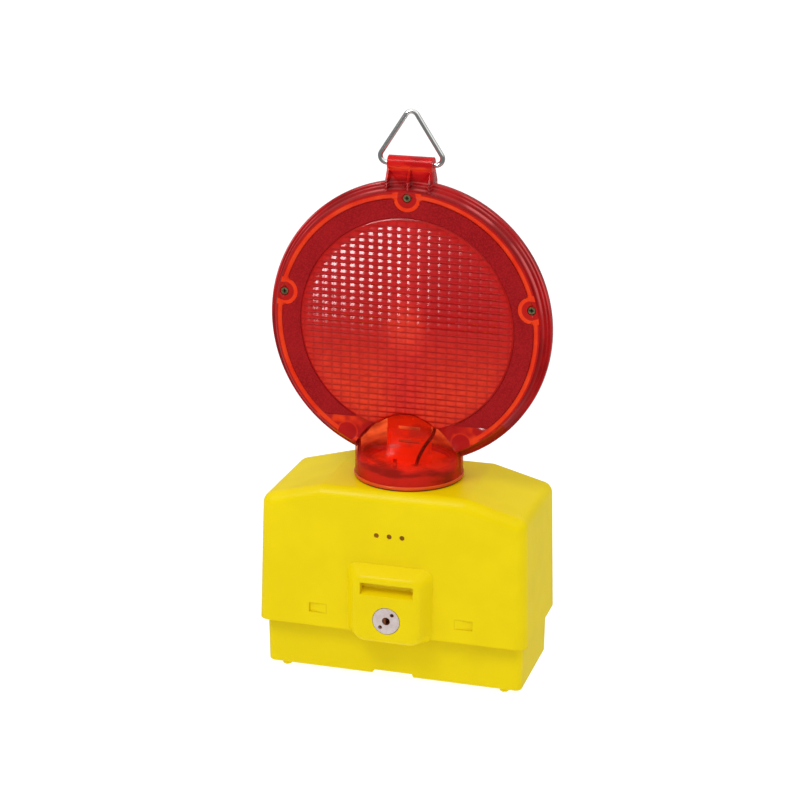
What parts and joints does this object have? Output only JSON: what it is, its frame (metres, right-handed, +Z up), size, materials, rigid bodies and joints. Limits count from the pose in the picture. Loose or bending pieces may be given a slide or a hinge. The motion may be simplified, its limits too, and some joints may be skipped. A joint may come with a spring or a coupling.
{
  "type": "barricade warning light",
  "caption": "Battery warning light with a round red two-sided lens head that turns on a yellow lockable housing, with a wire hanging ring on top.",
  "frame": {"origin": "on the spigot socket's axis at its mouth, in the plane that the four feet stand on, under the middle of the housing", "axes": "+Z up, +Y to the back, +X to the right seen from the lock side"},
  "size_m": [0.199, 0.1012, 0.397],
  "materials": {
    "housing_yellow": "satin moulded plastic",
    "lens_red": "clear red gloss",
    "reflector_red": "dark red retroreflective",
    "swivel_red": "clear red gloss",
    "gasket_red": "soft dark red seal",
    "seal_black": "black seal",
    "battery_case": "dark battery case",
    "spring_steel": "plated spring wire",
    "ring_steel": "bright steel wire",
    "lock_steel": "turned steel face",
    "screw_steel": "passivated dark steel",
    "contact_brass": "bright brass",
    "board_green": "solder resist",
    "black_plastic": "black moulding",
    "window_brown": "tinted window",
    "lamp_clear": "clear lamp body",
    "mast_plastic": "red clear moulding",
    "lead_black": "black insulation",
    "carrier_grey": "grey moulding",
    "capacitor_sleeve": "sleeve",
    "coil_ferrite": "ferrite",
    "header_white": "white nylon"
  },
  "bodies": {
    "base": {"base_tray": "housing_yellow", "battery_left": "battery_case", "battery_right": "battery_case", "battery_left_springs": "spring_steel", "battery_right_springs": "spring_steel"},
    "cover": {"cover": "housing_yellow", "indicator_windows": "window_brown", "lock_body": "lock_steel", "lock_body_screws": "screw_steel", "contact_plate": "carrier_grey", "battery_contacts": "contact_brass", "contact_plate_screws": "screw_steel", "main_board": "board_green", "controller_chip": "black_plastic", "smoothing_capacitor": "capacitor_sleeve", "boost_coil": "coil_ferrite", "board_header": "header_white", "indicator_board": "board_green", "indicator_leds": "lamp_clear", "light_sensor": "black_plastic"},
    "lock": {"lock_core": "lock_steel", "lock_cam": "lock_steel", "lock_cam_screw": "screw_steel"},
    "head": {"front_lens_shell": "lens_red", "rear_lens_shell": "lens_red", "front_reflector_ring": "reflector_red", "rear_reflector_ring": "reflector_red", "lens_gasket": "gasket_red", "lens_screws": "screw_steel", "led_mast": "mast_plastic", "led_board": "board_green", "led_emitters": "lamp_clear", "head_lead": "lead_black", "lead_plug": "header_white", "swivel_ring": "swivel_red", "swivel_seal": "seal_black", "retaining_ring": "black_plastic", "retaining_ring_screws": "screw_steel"},
    "hanger": {"hanging_ring": "ring_steel"}
  },
  "joints": [
    {"name": "cover_lift", "type": "slide", "parent": "base", "child": "cover", "axis": [0, 0, 1], "range_m": [0, 0.1]},
    {"name": "lock_turn", "type": "hinge", "parent": "cover", "child": "lock", "pos_m": [0, -0.05, 0.0512], "axis": [0, -1, 0], "range_deg": [0, 90]},
    {"name": "head_turn", "type": "hinge", "parent": "cover", "child": "head", "pos_m": [0, 0, 0.1415], "axis": [0, 0, 1], "range_deg": [-90, 90]},
    {"name": "ring_swing", "type": "hinge", "parent": "head", "child": "hanger", "pos_m": [0, 0, 0.36], "axis": [1, 0, 0], "range_deg": [-115, 115]}
  ]
}
